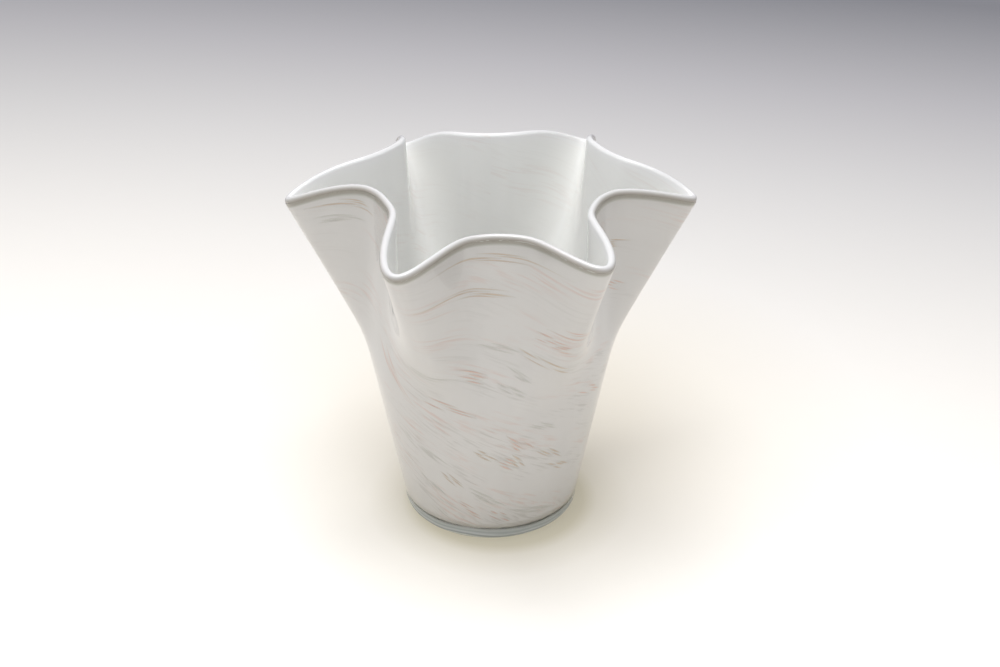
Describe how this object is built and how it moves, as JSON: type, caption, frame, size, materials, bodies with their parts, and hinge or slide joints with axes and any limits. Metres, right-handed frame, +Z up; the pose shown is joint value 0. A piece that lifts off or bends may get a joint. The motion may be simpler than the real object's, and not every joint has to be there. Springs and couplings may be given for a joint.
{
  "type": "ruffled cased-glass vase",
  "caption": "Hand-blown cased glass vase: cone body opening into ruffled lobes, white opal lining and lip, clear casing and thick clear foot, faint coloured streaks.",
  "frame": {"origin": "centre of the flat foot, on the surface the vase stands on", "axes": "+Z up; +X through the tip of lobe 1, the widest way across; -Y towards the viewer"},
  "size_m": [0.2617, 0.2329, 0.2392],
  "materials": {
    "opal_glass": "glossy white opal glass",
    "clear_glass": "clear, fire-polished, faintly grey-green in the thick foot",
    "amber_glass": "amber-brown glass under the clear casing",
    "rose_glass": "rose-peach glass under the clear casing",
    "smoke_glass": "smoke-grey glass under the clear casing"
  },
  "bodies": {
    "root": {"opal_lining": "opal_glass", "clear_casing": "clear_glass", "amber_streak_01": "amber_glass", "amber_streak_02": "amber_glass", "amber_streak_03": "amber_glass", "amber_streak_04": "amber_glass", "amber_streak_05": "amber_glass", "amber_streak_06": "amber_glass", "amber_streak_07": "amber_glass", "amber_streak_08": "amber_glass", "amber_streak_09": "amber_glass", "amber_streak_10": "amber_glass", "amber_streak_11": "amber_glass", "amber_streak_12": "amber_glass", "amber_streak_13": "amber_glass", "amber_streak_14": "amber_glass", "rose_streak_01": "rose_glass", "rose_streak_02": "rose_glass", "rose_streak_03": "rose_glass", "rose_streak_04": "rose_glass", "rose_streak_05": "rose_glass", "rose_streak_06": "rose_glass", "rose_streak_07": "rose_glass", "rose_streak_08": "rose_glass", "rose_streak_09": "rose_glass", "rose_streak_10": "rose_glass", "rose_streak_11": "rose_glass", "rose_streak_12": "rose_glass", "rose_streak_13": "rose_glass", "rose_streak_14": "rose_glass", "smoke_streak_01": "smoke_glass", "smoke_streak_02": "smoke_glass", "smoke_streak_03": "smoke_glass", "smoke_streak_04": "smoke_glass", "smoke_streak_05": "smoke_glass", "smoke_streak_06": "smoke_glass", "smoke_streak_07": "smoke_glass", "smoke_streak_08": "smoke_glass", "smoke_streak_09": "smoke_glass", "smoke_streak_10": "smoke_glass", "smoke_streak_11": "smoke_glass", "smoke_streak_12": "smoke_glass", "smoke_streak_13": "smoke_glass", "smoke_streak_14": "smoke_glass"}
  },
  "joints": []
}
